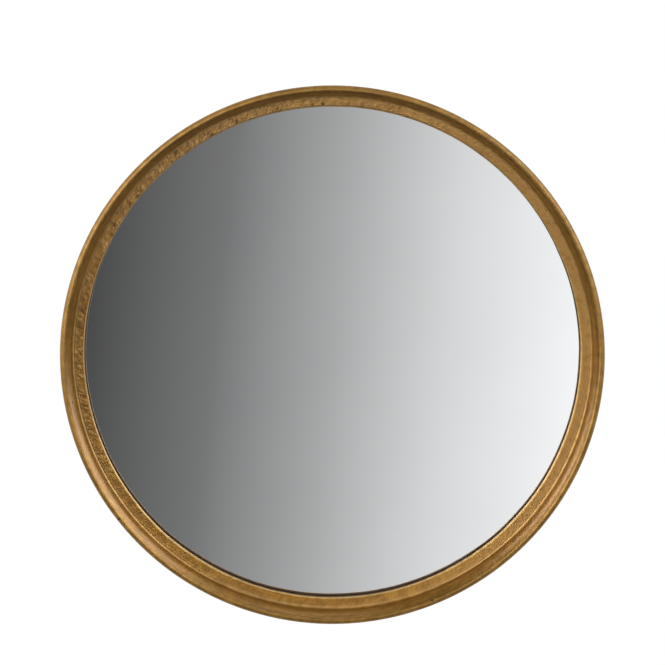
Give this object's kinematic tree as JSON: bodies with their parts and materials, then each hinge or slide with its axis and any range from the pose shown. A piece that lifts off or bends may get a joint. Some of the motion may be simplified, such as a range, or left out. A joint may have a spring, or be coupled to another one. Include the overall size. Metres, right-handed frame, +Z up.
{
  "type": "convex wall mirror",
  "caption": "Round convex butler's mirror: cast brass frame with a rolled lip and a flat inner ring, domed glass, back board on turn buttons, D-ring hanger.",
  "frame": {"origin": "the point inside the top of the hanger ring where the wall hook carries the mirror; the centre of the mirror lies 163.3 mm below it", "axes": "+Y towards the wall, along the axis of the round glass; +Z up; the glass faces -Y"},
  "size_m": [0.4, 0.0419, 0.4],
  "materials": {
    "antique_brass": "satin",
    "silvered_glass": "polished",
    "black_rubber": "matte",
    "grey_foam": "matte",
    "brown_mdf": "matte",
    "plated_steel": "satin",
    "plated_wire": "satin"
  },
  "bodies": {
    "mirror": {"frame_casting": "antique_brass", "mirror_glass": "silvered_glass", "glass_gasket": "black_rubber", "packing_ring": "grey_foam", "back_board": "brown_mdf", "turn_screw_1": "plated_steel", "turn_screw_2": "plated_steel", "turn_screw_3": "plated_steel", "turn_screw_4": "plated_steel", "turn_screw_5": "plated_steel", "turn_screw_6": "plated_steel", "hanger_strap": "plated_steel", "hanger_rivet_1": "plated_steel", "hanger_rivet_2": "plated_steel", "wall_pad_1": "black_rubber", "wall_pad_2": "black_rubber", "wall_pad_3": "black_rubber", "wall_pad_4": "black_rubber"},
    "button_1": {"turn_button_1": "plated_steel"},
    "button_2": {"turn_button_2": "plated_steel"},
    "button_3": {"turn_button_3": "plated_steel"},
    "button_4": {"turn_button_4": "plated_steel"},
    "button_5": {"turn_button_5": "plated_steel"},
    "button_6": {"turn_button_6": "plated_steel"},
    "ring": {"hanger_ring": "plated_wire"}
  },
  "joints": [
    {"name": "button_turn_1", "type": "hinge", "parent": "mirror", "child": "button_1", "pos_m": [0.09537, -0.0018, 0.00189], "axis": [0, 1, 0], "continuous": true},
    {"name": "button_turn_2", "type": "hinge", "parent": "mirror", "child": "button_2", "pos_m": [0.19075, -0.0018, -0.1633], "axis": [0, 1, 0], "continuous": true},
    {"name": "button_turn_3", "type": "hinge", "parent": "mirror", "child": "button_3", "pos_m": [0.09537, -0.0018, -0.32849], "axis": [0, 1, 0], "continuous": true},
    {"name": "button_turn_4", "type": "hinge", "parent": "mirror", "child": "button_4", "pos_m": [-0.09537, -0.0018, -0.32849], "axis": [0, 1, 0], "continuous": true},
    {"name": "button_turn_5", "type": "hinge", "parent": "mirror", "child": "button_5", "pos_m": [-0.19075, -0.0018, -0.1633], "axis": [0, 1, 0], "continuous": true},
    {"name": "button_turn_6", "type": "hinge", "parent": "mirror", "child": "button_6", "pos_m": [-0.09537, -0.0018, 0.00189], "axis": [0, 1, 0], "continuous": true},
    {"name": "ring_swing", "type": "hinge", "parent": "mirror", "child": "ring", "pos_m": [0, 0, -0.0153], "axis": [-1, 0, 0], "range_deg": [-3, 180]}
  ]
}
